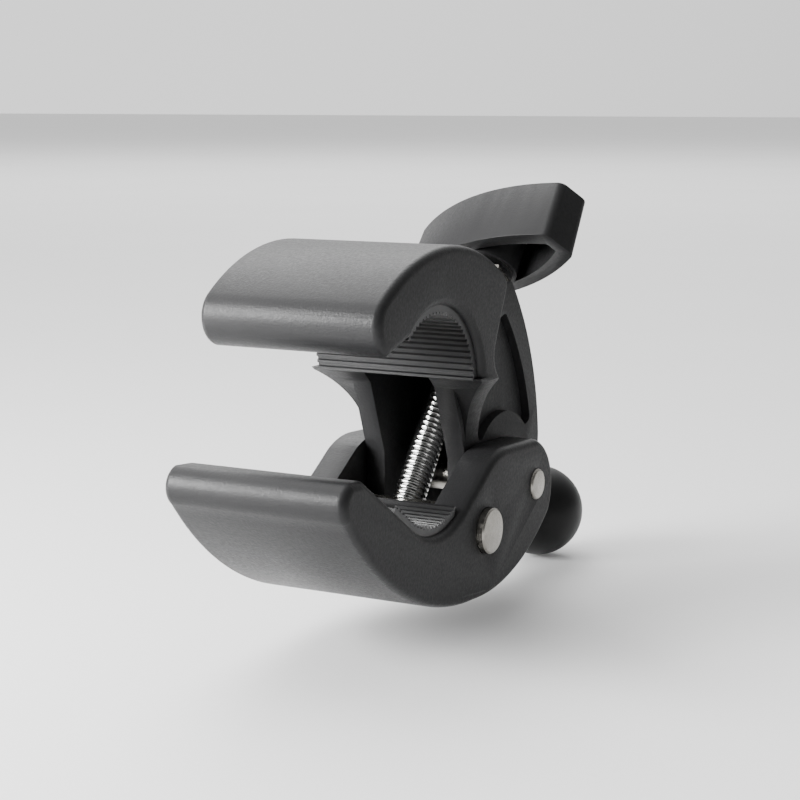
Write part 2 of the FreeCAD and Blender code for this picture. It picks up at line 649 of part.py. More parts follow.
def hexagon(sketch, flats):
    """Regular hexagon across its flats, centred on the sketch."""
    reach = f"({flats}) / (2 * cos(30))"
    return outline(sketch, [(f"{reach} * cos({turn})", f"{reach} * sin({turn})") for turn in range(0, 360, 60)])


def build_washer(label, height, thick, radius, bore):
    """Flat washer on a body's own Z axis."""
    body = new_body(label)
    disc = ring(raised(body, height), "0", "0", radius)
    ring(disc, "0", "0", bore)
    pad(body, disc, thick, both_ways=False)
    return body


def build_rod():
    body = new_body("threaded_rod")
    foot = "(-sizes.seat_reach - sizes.rod_tail)"
    top = f"({KNOB_FOOT} + sizes.insert_tall)"
    pad(body, ring(raised(body, foot), "0", "0", "sizes.rod_d / 2"), f"{top} - {foot}", both_ways=False)
    pin = ring(new_sketch(body, "XZ_Plane"), "0", f"{KNOB_FOOT} + sizes.insert_tall / 2", "sizes.cross_pin_d / 2")
    pocket(body, pin, "60")
    return body


def build_rocker():
    body = new_body("rocker")
    half = "sqrt(sizes.rocker_r^2 - sizes.rocker_flat^2)"
    section = outline(new_sketch(body, "YZ_Plane"), [
        (f"-{half}", "-sizes.rocker_flat", "sizes.rocker_r"),
        (half, "-sizes.rocker_flat"),
    ])
    pad(body, section, "2 * sizes.rocker_half")
    pocket(body, ring(new_sketch(body, "XY_Plane"), "0", "0", "sizes.rod_d / 2 + 0.2"), "60")
    return body


def build_cradle_liner():
    """Thin steel half-shell between the rocker and the moulded cradle."""
    body = new_body("cradle_liner")
    inner = "(sizes.rocker_r + sizes.run)"
    outer = f"({inner} + sizes.liner)"
    drop = "sizes.boss_drop"
    section = outline(new_sketch(body, "YZ_Plane"), [
        (f"-sqrt({outer}^2 - {drop}^2)", f"-{drop}", outer),
        (f"sqrt({outer}^2 - {drop}^2)", f"-{drop}"),
        (f"sqrt({inner}^2 - {drop}^2)", f"-{drop}", f"-{inner}"),
        (f"-sqrt({inner}^2 - {drop}^2)", f"-{drop}"),
    ])
    pad(body, section, "2 * sizes.rocker_half")
    slot = outline(new_sketch(body, "XY_Plane"), [
        (f"-{ROD_ROOM}", f"-{ROD_ROOM} - 0.8"),
        (ROD_ROOM, f"-{ROD_ROOM} - 0.8"),
        (ROD_ROOM, f"{ROD_ROOM} + 0.5"),
        (f"-{ROD_ROOM}", f"{ROD_ROOM} + 0.5"),
    ])
    pocket(body, slot, "60")
    return body


def wing(sketch, inset="0"):
    """Plan of the knob: flat ends and bulging sides, drawn in by an inset."""
    tip = f"(sizes.knob_span / 2 - ({inset}))"
    end = f"(sizes.knob_tip / 2 - ({inset}))"
    rise = "((sizes.knob_waist - sizes.knob_tip) / 2)"
    bulge = f"(({tip}^2 + {rise}^2) / (2 * {rise}))"
    return outline(sketch, [
        (tip, f"-{end}"),
        (tip, end, bulge),
        (f"-{tip}", end),
        (f"-{tip}", f"-{end}", bulge),
    ])


def build_knob():
    """Wing knob: drafted shell, hollow underneath, with a hub for its hexagonal insert."""
    body = new_body("knob_shell")
    shell = pad(body, wing(raised(body, KNOB_FOOT)), "sizes.knob_height", both_ways=False)
    shell.setExpression("TaperAngle", "-sizes.knob_draft")
    doc.recompute()
    upright = size("sizes.knob_height") * 0.9
    round_edges(body, "sizes.knob_corner", lambda edge: edge.BoundBox.ZLength > upright)
    hollow = pocket(body, wing(raised(body, KNOB_FOOT), "sizes.knob_wall"),
                    "sizes.knob_height - sizes.knob_roof", both_ways=False, reverse=True)
    hollow.setExpression("TaperAngle", "-sizes.knob_draft")
    doc.recompute()
    hub = ring(raised(body, KNOB_FOOT), "0", "0", "sizes.hub_r")
    pad(body, hub, "sizes.knob_height - 1", both_ways=False)
    pocket(body, hexagon(raised(body, KNOB_FOOT), "sizes.insert_flats"), "sizes.insert_tall", both_ways=False,
           reverse=True)
    dish = ring(raised(body, f"{KNOB_FOOT} + sizes.knob_height"), "0", "0", "sizes.cap_r")
    pocket(body, dish, "sizes.cap_thick", both_ways=False)
    return body


def build_insert():
    body = new_body("knob_insert")
    pad(body, hexagon(raised(body, KNOB_FOOT), "sizes.insert_flats"), "sizes.insert_tall", both_ways=False)
    pocket(body, ring(new_sketch(body, "XY_Plane"), "0", "0", "sizes.rod_d / 2"), "80")
    pin = ring(new_sketch(body, "XZ_Plane"), "0", f"{KNOB_FOOT} + sizes.insert_tall / 2", "sizes.cross_pin_d / 2")
    pocket(body, pin, "60")
    return body


def build_knob_pin():
    body = new_body("knob_pin")
    pin = ring(new_sketch(body, "XZ_Plane"), "0", f"{KNOB_FOOT} + sizes.insert_tall / 2", "sizes.cross_pin_d / 2")
    pad(body, pin, "sizes.insert_flats - 0.4")
    return body


def build_cap():
    body = new_body("knob_cap")
    foot = f"{KNOB_FOOT} + sizes.knob_height - sizes.cap_thick"
    pad(body, ring(raised(body, foot), "0", "0", "sizes.cap_r - 0.05"), "sizes.cap_thick", both_ways=False)
    return body


# ---------------------------------------------------------------- ball mount
def build_ball_post():
    """Metal core of the ball and the post that carries it."""
    body = new_body("ball_post")
    core = body.newObject("PartDesign::AdditiveSphere", "ball_core")
    bind(core, Radius="sizes.ball_d / 2 - sizes.ball_skin")
    doc.recompute()
    neck = ring(new_sketch(body, "XY_Plane"), "0", "0", "sizes.post_d / 2")
    pad(body, neck, "sizes.stub_face", both_ways=False)
    thread = ring(raised(body, "sizes.stub_face"), "0", "0", "sizes.screw_d / 2")
    pocket(body, thread, "sizes.screw_bite + 1", both_ways=False)
    return body


def build_ball_cover():
    """Rubber skin over the ball, open where the post enters."""
    body = new_body("ball_cover")
    bind(body.newObject("PartDesign::AdditiveSphere", "skin_outside"), Radius="sizes.ball_d / 2")
    doc.recompute()
    bind(body.newObject("PartDesign::SubtractiveSphere", "skin_inside"),
         Radius="sizes.ball_d / 2 - sizes.ball_skin")
    doc.recompute()
    neck = ring(new_sketch(body, "XY_Plane"), "0", "0", "sizes.post_d / 2")
    pocket(body, neck, "2 * sizes.ball_d", both_ways=False, reverse=True)
    return body


def build_ball_screw():
    body = new_body("ball_screw")
    foot = "(sizes.stub_face - sizes.screw_bite)"
    under = "(sizes.stub_face + sizes.stub_wall + sizes.screw_washer_thick)"
    pad(body, ring(raised(body, foot), "0", "0", "sizes.screw_d / 2"), f"{under} - {foot}", both_ways=False)
    pad(body, ring(raised(body, under), "0", "0", "sizes.screw_head_r"), "sizes.screw_head_tall", both_ways=False)
    top = raised(body, f"{under} + sizes.screw_head_tall")
    pocket(body, hexagon(top, "sizes.socket_flats"), "sizes.socket_deep", both_ways=False)
    return body


# ---------------------------------------------------------------- the whole clamp
at_hinge = [build_main_body(), build_upper_pad(), build_lower_jaw(), build_lower_pad(),
            build_cross_pin("hinge_pin", "0", "0", "sizes.hinge_d", "sizes.hinge_proud"), build_barrel_nut(),
            build_hinge_bushes()]
for thing in at_hinge:
    place(node(thing), y=HINGE_Y, z=HINGE_Z)

not_turning = [build_rocker(), build_cradle_liner(),
               build_washer("slip_washer", "-sizes.rocker_flat", "sizes.slip_washer", "sizes.washer_r",
                            "sizes.rod_d / 2 + 0.2")]
turning = [build_washer("thrust_washer", "sizes.slip_washer - sizes.rocker_flat", "sizes.steel_washer",
                        "sizes.washer_r", "sizes.rod_d / 2 + 0.2"),
           build_rod(), build_knob(), build_insert(), build_knob_pin(), build_cap()]
for thing in not_turning:
    along_rod(node(thing), "0")
for thing in turning:
    along_rod(node(thing), "0", spin="sizes.knob_turned")

ball_parts = [build_ball_post(), build_ball_cover(), build_ball_screw(),
              build_washer("ball_washer", "sizes.stub_face + sizes.stub_wall", "sizes.screw_washer_thick",
                           "sizes.screw_washer_r", "sizes.screw_d / 2 + 0.2")]
for thing in ball_parts:
    along_post(node(thing), "0")

doc.recompute()
for thing in doc.Objects:
    if "Invalid" in thing.State or "Error" in thing.State:
        raise RuntimeError(f"{thing.Label} did not rebuild: {thing.State}")
for thing in nodes:
    shape = thing.Shape
    if shape.isNull() or not shape.isValid() or not shape.Solids:
        raise RuntimeError(f"{thing.Label} has no sound solid")
    shape.exportStep(os.path.join(PARTS_FOLDER, f"{thing.Label}.step"))
    print(f"{thing.Label}: {len(shape.Solids)} solid(s), {shape.Volume:.0f} mm3")
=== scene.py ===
"""Super clamp in black glass-filled moulding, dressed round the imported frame.

Every dressed piece starts from a frame node or from its sizes, in the row frame, in metres.
"""

import json
import logging
import math
from collections.abc import Callable, Sequence
from dataclasses import dataclass
from enum import Enum

import bmesh
import bpy
from mathutils import Matrix, Vector


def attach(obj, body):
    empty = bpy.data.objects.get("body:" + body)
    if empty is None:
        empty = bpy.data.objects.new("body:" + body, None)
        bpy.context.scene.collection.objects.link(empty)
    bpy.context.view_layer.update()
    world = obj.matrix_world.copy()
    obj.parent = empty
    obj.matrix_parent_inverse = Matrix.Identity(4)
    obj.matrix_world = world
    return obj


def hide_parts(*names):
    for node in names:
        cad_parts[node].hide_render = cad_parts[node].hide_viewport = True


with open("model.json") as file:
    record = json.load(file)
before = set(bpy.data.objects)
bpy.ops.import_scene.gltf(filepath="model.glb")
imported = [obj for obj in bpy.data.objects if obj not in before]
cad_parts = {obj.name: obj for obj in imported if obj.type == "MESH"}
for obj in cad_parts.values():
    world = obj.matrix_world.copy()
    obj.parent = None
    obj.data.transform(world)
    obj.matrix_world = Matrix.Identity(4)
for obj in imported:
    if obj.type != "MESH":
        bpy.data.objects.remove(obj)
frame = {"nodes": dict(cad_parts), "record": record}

LOG = logging.getLogger("super_clamp")
MM = 0.001
Triple = tuple[float, float, float]

HINGE = Vector((0.0, -52.6, 19.5)) * MM
NUT = HINGE + Vector((0.0, -29.0, -6.0)) * MM
ROD_TILT = math.radians(38.2)
ROD_AXIS = Vector((0.0, math.sin(ROD_TILT), math.cos(ROD_TILT)))
SEAT_REACH = 72.0
SEAT = NUT + ROD_AXIS * SEAT_REACH * MM

SAME_POINT = 2e-6
SAME_PLANE = math.radians(0.5)


class Kind(Enum):
    """Node types used in the trees."""

    MATH = "ShaderNodeMath"
    VECTOR_MATH = "ShaderNodeVectorMath"
    COMBINE = "ShaderNodeCombineXYZ"
    SEPARATE = "ShaderNodeSeparateXYZ"
    MAP_RANGE = "ShaderNodeMapRange"
    MIX = "ShaderNodeMix"
    NOISE = "ShaderNodeTexNoise"
    VORONOI = "ShaderNodeTexVoronoi"
    COORDINATES = "ShaderNodeTexCoord"
    GEOMETRY = "ShaderNodeNewGeometry"
    BUMP = "ShaderNodeBump"
    SURFACE = "ShaderNodeBsdfPrincipled"
    OUTPUT = "ShaderNodeOutputMaterial"
    BACKGROUND = "ShaderNodeBackground"
    WORLD_OUTPUT = "ShaderNodeOutputWorld"
    TREE_INPUT = "NodeGroupInput"
    TREE_OUTPUT = "NodeGroupOutput"
    REALIZE = "GeometryNodeRealizeInstances"
    SET_MATERIAL = "GeometryNodeSetMaterial"
    SET_POSITION = "GeometryNodeSetPosition"
    POSITION = "GeometryNodeInputPosition"
    TANGENT = "GeometryNodeInputTangent"
    COMPARE = "FunctionNodeCompare"
    TRANSFORM = "GeometryNodeTransform"
    JOIN = "GeometryNodeJoinGeometry"
    CUBE = "GeometryNodeMeshCube"
    CYLINDER = "GeometryNodeMeshCylinder"
    MESH_TO_CURVE = "GeometryNodeMeshToCurve"
    RESAMPLE = "GeometryNodeResampleCurve"
    INSTANCES = "GeometryNodeInstanceOnPoints"
    SPIRAL = "GeometryNodeCurveSpiral"
    CURVE_NORMAL = "GeometryNodeSetCurveNormal"
    QUADRILATERAL = "GeometryNodeCurvePrimitiveQuadrilateral"
    CURVE_TO_MESH = "GeometryNodeCurveToMesh"


class Graph:
    """Adds nodes to one tree and wires them."""

    def __init__(self, tree: bpy.types.NodeTree) -> None:
        """Hold the tree.

        Args:
            tree: Tree that receives the nodes.
        """
        self.tree = tree

    def add(self, kind: Kind, inputs: dict | None = None, **settings: object) -> bpy.types.Node:
        """Add a node, with its settings and its inputs.

        Args:
            kind: Node type.
            inputs: Socket name or number, and a constant, a socket or a wrapped socket for each.
            **settings: Properties of the node.

        Returns:
            The new node.
        """
        node = self.tree.nodes.new(kind.value)
        for name, value in settings.items():
            setattr(node, name, value)
        for key, value in (inputs or {}).items():
            self.feed(node.inputs[key], value)
        return node

    def feed(self, socket: bpy.types.NodeSocket, value: object) -> None:
        """Link or set one input socket.

        Args:
            socket: Input to fill.
            value: Constant, output socket or wrapped socket.
        """
        source = value.socket if isinstance(value, Field) else value
        if isinstance(source, bpy.types.NodeSocket):
            self.tree.links.new(source, socket)
        else:
            socket.default_value = source

    def field(self, socket: bpy.types.NodeSocket) -> "Field":
        """Wrap an output socket for arithmetic.

        Args:
            socket: Output of a node in this tree.

        Returns:
            The wrapped socket.
        """
        return Field(self, socket)


class Field:
    """Output socket that takes part in arithmetic."""

    def __init__(self, graph: Graph, socket: bpy.types.NodeSocket) -> None:
        """Wrap a socket.

        Args:
            graph: Graph that owns the socket's tree.
            socket: Output socket.
        """
        self.graph = graph
        self.socket = socket

    def _math(self, operation: str, *values: object) -> "Field":
        node = self.graph.add(Kind.MATH, dict(enumerate(values)), operation=operation)
        return Field(self.graph, node.outputs[0])

    def __add__(self, other: object) -> "Field":
        return self._math("ADD", self, other)

    __radd__ = __add__

    def __sub__(self, other: object) -> "Field":
        return self._math("SUBTRACT", self, other)

    def __rsub__(self, other: object) -> "Field":
        return self._math("SUBTRACT", other, self)

    def __mul__(self, other: object) -> "Field":
        return self._math("MULTIPLY", self, other)

    __rmul__ = __mul__

    def __truediv__(self, other: object) -> "Field":
        return self._math("DIVIDE", self, other)

    def __rtruediv__(self, other: object) -> "Field":
        return self._math("DIVIDE", other, self)

    def sine(self) -> "Field":
        """Return the sine."""
        return self._math("SINE", self)

    def absolute(self) -> "Field":
        """Return the absolute value."""
        return self._math("ABSOLUTE", self)

    def angle_to(self, other: "Field") -> "Field":
        """Return the angle of the point (other, self) in radians.

        Args:
            other: Run of the slope whose rise this field is.

        Returns:
            The angle.
        """
        return self._math("ARCTAN2", self, other)

    def step(self, low: float, high: float, bottom: float = 0.0, top: float = 1.0) -> "Field":
        """Return a smooth step between two values of this field.

        Args:
            low: Value where the step starts.
            high: Value where the step ends.
            bottom: Result below the step.
            top: Result above the step.

        Returns:
            The step.
        """
        inputs = {"Value": self, "From Min": low, "From Max": high, "To Min": bottom, "To Max": top}
        node = self.graph.add(Kind.MAP_RANGE, inputs, interpolation_type="SMOOTHSTEP")
        return Field(self.graph, node.outputs[0])


class MaterialGraph(Graph):
    """Material tree with the object's own coordinates in millimetres."""

    def __init__(self, name: str) -> None:
        """Start a material.

        Args:
            name: The material's name.
        """
        self.material = bpy.data.materials.new(name)
        self.material.use_nodes = True
        self.material.node_tree.nodes.clear()
        super().__init__(self.material.node_tree)
        place = self.add(Kind.COORDINATES)
        scaled = self.add(Kind.VECTOR_MATH, {0: place.outputs["Object"]}, operation="SCALE")
        self.feed(scaled.inputs["Scale"], 1000.0)
        self.millimetres = scaled.outputs[0]

    def stretched(self, stretch: Triple, offset: Triple | None = None) -> bpy.types.NodeSocket:
        """Return the coordinates multiplied along each axis.

        Args:
            stretch: Factor along X, Y and Z.
            offset: Point in millimetres that becomes the origin first.

        Returns:
            The coordinates.
        """
        source = self.millimetres
        if offset is not None:
            moved = self.add(Kind.VECTOR_MATH, {0: source, 1: offset}, operation="SUBTRACT")
            source = moved.outputs[0]
        return self.add(Kind.VECTOR_MATH, {0: source, 1: stretch}, operation="MULTIPLY").outputs[0]

    def noise(self, scale: float, detail: float = 2.0, vector: bpy.types.NodeSocket | None = None) -> Field:
        """Return noise about one half.

        Args:
            scale: Features per millimetre.
            detail: Number of octaves.
            vector: Coordinates, or None for plain millimetres.

        Returns:
            The noise.
        """
        inputs = {"Vector": vector or self.millimetres, "Scale": scale, "Detail": detail, "Roughness": 0.55}
        return self.field(self.add(Kind.NOISE, inputs).outputs[0])

    def cells(self, scale: float) -> Field:
        """Return the distance to the nearest of many scattered points.

        Args:
            scale: Cells per millimetre.

        Returns:
            The distance in cells.
        """
        node = self.add(Kind.VORONOI, {"Vector": self.millimetres, "Scale": scale}, feature="SMOOTH_F1")
        return self.field(node.outputs["Distance"])

    def tint(self, factor: Field, dark: Triple, light: Triple) -> bpy.types.NodeSocket:
        """Return a colour between two.

        Args:
            factor: Zero for dark, one for light.
            dark: Linear colour.
            light: Linear colour.

        Returns:
            The colour.
        """
        node = self.add(Kind.MIX, {"Factor": factor}, data_type="RGBA")
        colours = [socket for socket in node.inputs if socket.type == "RGBA"]
        self.feed(colours[0], (*dark, 1.0))
        self.feed(colours[1], (*light, 1.0))
        return next(socket for socket in node.outputs if socket.type == "RGBA")

    def bump(self, *layers: tuple[Field, float, float]) -> bpy.types.NodeSocket:
        """Return a normal from stacked heights.

        Args:
            *layers: Height, strength and depth in millimetres for each layer.

        Returns:
            The normal.
        """
        normal = None
        for height, strength, depth in layers:
            node = self.add(Kind.BUMP, {"Height": height, "Strength": strength, "Distance": depth * MM})
            if normal is not None:
                self.feed(node.inputs["Normal"], normal)
            normal = node.outputs[0]
        return normal

    def finish(self, **sockets: object) -> bpy.types.Material:
        """Add the surface shader and the output.

        Args:
            **sockets: Shader input for each, with underscores for spaces.

        Returns:
            The finished material.
        """
        inputs = {name.replace("_", " "): value for name, value in sockets.items()}
        shader = self.add(Kind.SURFACE, inputs)
        self.add(Kind.OUTPUT, {"Surface": shader.outputs[0]})
        return self.material


# ------------------------------------------------------------------ finishes
@dataclass(frozen=True)
class Moulding:
    """Black glass-filled moulding: flow lines along X on the jaws, rougher ends, spark grain all over."""

    name: str
    dark: Triple = (0.0085, 0.0085, 0.0090)
    light: Triple = (0.0180, 0.0180, 0.0186)
    roughness: float = 0.40
    end_roughness: float = 0.60
    end_starts: float = 0.55
    end_full: float = 0.90
    grain_mm: float = 0.50
    grain_depth: float = 0.050
    grit_scale: float = 4.8
    speckle_scale: float = 1.3
    cloud_scale: float = 0.045
    streaks: float = 1.0
    streak_depth: float = 0.020
    wide_streak: Triple = (0.035, 2.2, 2.2)
    fine_streak: Triple = (0.12, 9.0, 9.0)
    specular: float = 0.26

    def build(self) -> bpy.types.Material:
        """Return the material."""
        graph = MaterialGraph(self.name)
        facing = graph.add(Kind.SEPARATE, {0: graph.add(Kind.GEOMETRY).outputs["Normal"]})
        end = graph.field(facing.outputs[0]).absolute().step(self.end_starts, self.end_full)
        cells = graph.cells(1.0 / self.grain_mm)
        grit = graph.noise(self.grit_scale, 2.0)
        cloud = graph.noise(self.cloud_scale, 4.0)
        speckle = graph.noise(self.speckle_scale, 2.0)
        wide = graph.noise(1.0, 4.0, graph.stretched(self.wide_streak))
        fine = graph.noise(1.0, 3.0, graph.stretched(self.fine_streak))
        lines = (wide * 0.6 + fine * 0.4) * (1.0 - end) * self.streaks
        tone = cloud * 0.55 + lines * 0.45 + grit * 0.15
        rough = end * (self.end_roughness - self.roughness) + self.roughness
        rough = rough + (cloud - 0.5) * 0.10 + (lines - 0.5) * 0.08 * self.streaks + (speckle - 0.5) * 0.30
        normal = graph.bump((lines, 0.8 * self.streaks, self.streak_depth), (cells, 0.6, self.grain_depth),
                            (grit, 0.5, self.grain_depth))
        return graph.finish(Base_Color=graph.tint(tone, self.dark, self.light), Roughness=rough,
                            Normal=normal, Specular_IOR_Level=self.specular, IOR=1.45)


@dataclass(frozen=True)
class Rubber:
    """Matt black rubber with a bloom and a powdery skin."""

    name: str
    dark: Triple = (0.0060, 0.0060, 0.0064)
    light: Triple = (0.0130, 0.0130, 0.0135)
    roughness: float = 0.43
    skin_mm: float = 0.22
    depth: float = 0.018
    bloom_scale: float = 0.07
    index: float = 1.50

    def build(self) -> bpy.types.Material:
        """Return the material."""
        graph = MaterialGraph(self.name)
        skin = graph.noise(1.0 / self.skin_mm, 3.0)
        bloom = graph.noise(self.bloom_scale, 4.0)
        rough = self.roughness + (bloom - 0.5) * 0.22 + (skin - 0.5) * 0.10
        tone = bloom * 0.75 + skin * 0.25
        return graph.finish(Base_Color=graph.tint(tone, self.dark, self.light), Roughness=rough,
                            Normal=graph.bump((skin, 0.6, self.depth), (bloom, 0.3, 0.05)), IOR=self.index)


@dataclass(frozen=True)
class TurnedSteel:
    """Steel bar turned about an axis along X, with rings on its faces and lines along it."""

    name: str
    centre_mm: Triple = (0.0, 0.0, 0.0)
    dark: Triple = (0.19, 0.18, 0.16)
    light: Triple = (0.40, 0.385, 0.355)
    roughness: float = 0.27
    ring_pitch_mm: float = 0.16
    ring_depth: float = 0.006
    line_stretch: Triple = (7.0, 0.5, 0.5)
    line_depth: float = 0.006
    wear_scale: float = 0.35
    pit_scale: float = 4.0
    pit_depth: float = 0.006

    def build(self) -> bpy.types.Material:
        """Return the material."""
        graph = MaterialGraph(self.name)
        flat = graph.stretched((0.0, 1.0, 1.0), self.centre_mm)
        radius = graph.field(graph.add(Kind.VECTOR_MATH, {0: flat}, operation="LENGTH").outputs["Value"])
        rings = (radius * (math.tau / self.ring_pitch_mm)).sine() * 0.5 + 0.5
        along = graph.noise(1.0, 3.0, graph.stretched(self.line_stretch))
        wear = graph.noise(self.wear_scale, 4.0)
        pits = graph.noise(self.pit_scale, 2.0)
        tone = wear * 0.6 + rings * 0.15 + along * 0.3
        rough = self.roughness + (wear - 0.5) * 0.20 + (rings - 0.5) * 0.05
        normal = graph.bump((rings, 0.5, self.ring_depth), (along, 0.4, self.line_depth),
                            (pits, 0.35, self.pit_depth))
        return graph.finish(Base_Color=graph.tint(tone, self.dark, self.light), Roughness=rough, Metallic=1.0,
                            Normal=normal)


@dataclass(frozen=True)
class PlatedSteel:
    """Plated steel with a thin mottled passivation."""

    name: str
    dark: Triple = (0.50, 0.50, 0.485)
    light: Triple = (0.80, 0.80, 0.79)
    roughness: float = 0.20
    mottle_mm: float = 1.6
    fine_scale: float = 6.0
    depth: float = 0.008

    def build(self) -> bpy.types.Material:
        """Return the material."""
        graph = MaterialGraph(self.name)
        mottle = graph.noise(1.0 / self.mottle_mm, 4.0)
        fine = graph.noise(self.fine_scale, 2.0)
        tone = mottle * 0.7 + fine * 0.3
        rough = self.roughness + (mottle - 0.5) * 0.16 + (fine - 0.5) * 0.08
        return graph.finish(Base_Color=graph.tint(tone, self.dark, self.light), Roughness=rough, Metallic=1.0,
                            Normal=graph.bump((mottle, 0.4, self.depth), (fine, 0.4, self.depth)))


@dataclass(frozen=True)
class Studio:
    """Finish of the pale floor."""

    name: str = "pale_floor"
    dark: Triple = (0.80, 0.80, 0.80)
    light: Triple = (0.86, 0.86, 0.86)
    roughness: float = 0.6
    cloud_scale: float = 0.004
    grain_scale: float = 0.8

    def build(self) -> bpy.types.Material:
        """Return the material."""
        graph = MaterialGraph(self.name)
        cloud = graph.noise(self.cloud_scale, 3.0)
        grain = graph.noise(self.grain_scale, 2.0)
        rough = self.roughness + (grain - 0.5) * 0.1
        return graph.finish(Base_Color=graph.tint(cloud, self.dark, self.light), Roughness=rough)


# ------------------------------------------------------------------ trees for what repeats
class ShapeTree(Graph):
    """Geometry tree with named inputs."""

    def __init__(self, name: str) -> None:
        """Start a tree whose first input and output are geometry.

        Args:
            name: The tree's name.
        """
        super().__init__(bpy.data.node_groups.new(name, "GeometryNodeTree"))
        self.identifiers: dict[str, str] = {}
        self.tree.interface.new_socket("Geometry", in_out="INPUT", socket_type="NodeSocketGeometry")
        self.tree.interface.new_socket("Geometry", in_out="OUTPUT", socket_type="NodeSocketGeometry")
        self.entry = self.add(Kind.TREE_INPUT)
        self.exit = self.add(Kind.TREE_OUTPUT)

    def input(self, name: str, kind: str = "Float") -> Field:
        """Add a named input.

        Args:
            name: Name of the input.
            kind: Socket type without its prefix.

        Returns:
            The input, wrapped.
        """
        made = self.tree.interface.new_socket(name, in_out="INPUT", socket_type=f"NodeSocket{kind}")
        self.identifiers[name] = made.identifier
        return self.field(self.entry.outputs[name])

    def close(self, geometry: bpy.types.NodeSocket, material: Field) -> None:
        """Realize what was made, give it its material and end the tree.

        Args:
            geometry: Geometry to hand out.
            material: Material input.
        """
        real = self.add(Kind.REALIZE, {"Geometry": geometry})
        dressed = self.add(Kind.SET_MATERIAL, {"Geometry": real.outputs[0], "Material": material})
        self.feed(self.exit.inputs[0], dressed.outputs[0])

    def grow(self, name: str, mesh: bpy.types.Mesh, values: dict[str, object]) -> bpy.types.Mesh:
        """Evaluate the tree on a mesh.

        Args:
            name: Name of the result.
            mesh: Mesh that enters the tree.
            values: Value of each named input.

        Returns:
            A plain mesh.
        """
        carrier = bpy.data.objects.new(name, mesh)
        bpy.context.scene.collection.objects.link(carrier)
        modifier = carrier.modifiers.new(name, "NODES")
        modifier.node_group = self.tree
        for key, value in values.items():
            modifier[self.identifiers[key]] = value
        carrier.update_tag()
        bpy.context.view_layer.update()
        graph = bpy.context.evaluated_depsgraph_get()
        made = bpy.data.meshes.new_from_object(carrier.evaluated_get(graph), depsgraph=graph)
        carrier.modifiers.remove(modifier)
        bpy.data.objects.remove(carrier)
        made.name = name
        return made


def ribs_tree() -> ShapeTree:
    """Return a tree that lays tapered ribs along a path in the middle plane, standing on its left side."""
    tree = ShapeTree("ribs_along_path")
    pitch = tree.input("Pitch")
    length = tree.input("Length")
    base = tree.input("Base")
    crest = tree.input("Crest")
    height = tree.input("Height")
    material = tree.input("Material", "Material")
    size = tree.add(Kind.COMBINE, {"X": length, "Y": base, "Z": height})
    bar = tree.add(Kind.CUBE, {"Size": size.outputs[0]})
    corner = tree.add(Kind.SEPARATE, {0: tree.add(Kind.POSITION).outputs[0]})
    upper = tree.add(Kind.COMPARE, {0: corner.outputs[2], 1: 0.0}, data_type="FLOAT",
                     operation="GREATER_THAN")
    narrow = tree.field(corner.outputs[1]) * (crest / base)
    top = tree.add(Kind.COMBINE, {"X": corner.outputs[0], "Y": narrow, "Z": corner.outputs[2]})
    tapered = tree.add(Kind.SET_POSITION, {"Geometry": bar.outputs["Mesh"], "Selection": upper.outputs[0],
                                           "Position": top.outputs[0]})
    lift = tree.add(Kind.COMBINE, {"Z": height * 0.5})
    raised = tree.add(Kind.TRANSFORM, {"Geometry": tapered.outputs[0], "Translation": lift.outputs[0]})
    curve = tree.add(Kind.MESH_TO_CURVE, {"Mesh": tree.entry.outputs[0]})
    spaced = tree.add(Kind.RESAMPLE, {"Curve": curve.outputs[0], "Length": pitch}, mode="LENGTH")
    slope = tree.add(Kind.SEPARATE, {0: tree.add(Kind.TANGENT).outputs[0]})
    lean = tree.field(slope.outputs[2]).angle_to(tree.field(slope.outputs[1]))
    turn = tree.add(Kind.COMBINE, {"X": lean})
    laid = tree.add(Kind.INSTANCES, {"Points": spaced.outputs[0], "Instance": raised.outputs[0],
                                     "Rotation": turn.outputs[0]})
    tree.close(laid.outputs[0], material)
    return tree


def thread_tree() -> ShapeTree:
    """Return a tree that winds a thread round a core and sets it on its axis."""
    tree = ShapeTree("threaded_bar")
    turns = tree.input("Turns")
    pitch = tree.input("Pitch")
    core = tree.input("Core Radius")
    root = tree.input("Root Radius")
    foot = tree.input("Foot Width")
    crest = tree.input("Crest Width")
    height = tree.input("Height")
    steps = tree.input("Steps", "Int")
    sides = tree.input("Sides", "Int")
    tilt = tree.input("Tilt", "Vector")
    place = tree.input("Place", "Vector")
    material = tree.input("Material", "Material")
    length = turns * pitch
    middle = core + height * 0.5
    helix = tree.add(Kind.SPIRAL, {"Resolution": steps, "Rotations": turns, "Height": length,
                                   "Start Radius": middle, "End Radius": middle})
    level = tree.add(Kind.CURVE_NORMAL, {"Curve": helix.outputs[0]}, mode="Z_UP")
    tooth = tree.add(Kind.QUADRILATERAL, {"Bottom Width": foot, "Top Width": crest, "Height": height,
                                          "Offset": 0.0}, mode="TRAPEZOID")
    quarter = (0.0, 0.0, math.radians(90.0))
    upright = tree.add(Kind.TRANSFORM, {"Geometry": tooth.outputs[0], "Rotation": quarter})
    wound = tree.add(Kind.CURVE_TO_MESH, {"Curve": level.outputs[0], "Profile Curve": upright.outputs[0],
                                          "Fill Caps": True})
    bar = tree.add(Kind.CYLINDER, {"Vertices": sides, "Radius": root, "Depth": length})
    half_way = tree.add(Kind.COMBINE, {"Z": length * 0.5})
    stood = tree.add(Kind.TRANSFORM, {"Geometry": bar.outputs[0], "Translation": half_way.outputs[0]})
    both = tree.add(Kind.JOIN)
    tree.feed(both.inputs[0], wound.outputs[0])
    tree.feed(both.inputs[0], stood.outputs[0])
    placed = tree.add(Kind.TRANSFORM, {"Geometry": both.outputs[0], "Translation": place, "Rotation": tilt})
    tree.close(placed.outputs[0], material)
    return tree


